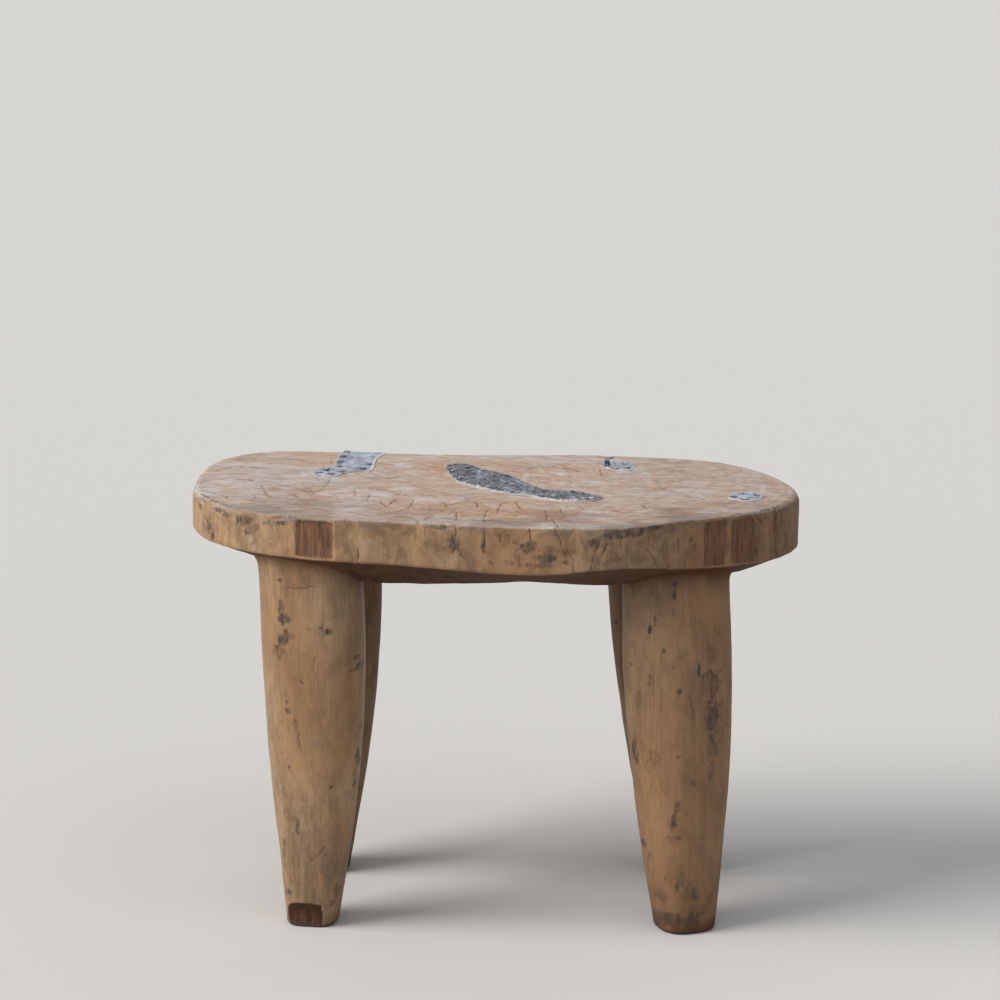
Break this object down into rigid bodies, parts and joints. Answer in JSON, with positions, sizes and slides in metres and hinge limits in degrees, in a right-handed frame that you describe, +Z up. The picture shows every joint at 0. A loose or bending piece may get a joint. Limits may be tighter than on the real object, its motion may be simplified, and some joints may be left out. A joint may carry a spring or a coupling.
{
  "type": "four-legged carved stool",
  "caption": "Low oval stool carved from one block of wood, with four tapered legs and nailed sheet metal patches on its worn top.",
  "frame": {"origin": "on the floor under the middle of the seat", "axes": "+X along the seat to the viewer's right, +Y to its back, +Z up from the floor"},
  "size_m": [0.5642, 0.3583, 0.398],
  "materials": {
    "carved_wood": "worn and hand polished",
    "bright_sheet": "weathered",
    "dark_sheet": "crumpled and scuffed",
    "nail_iron": "oxidised"
  },
  "bodies": {
    "root": {"carved_body": "carved_wood", "left_patch": "bright_sheet", "centre_patch": "dark_sheet", "back_patch": "bright_sheet", "right_patch": "bright_sheet", "left_patch_nails": "nail_iron", "centre_patch_nails": "nail_iron", "back_patch_nails": "nail_iron", "right_patch_nails": "nail_iron"}
  },
  "joints": []
}
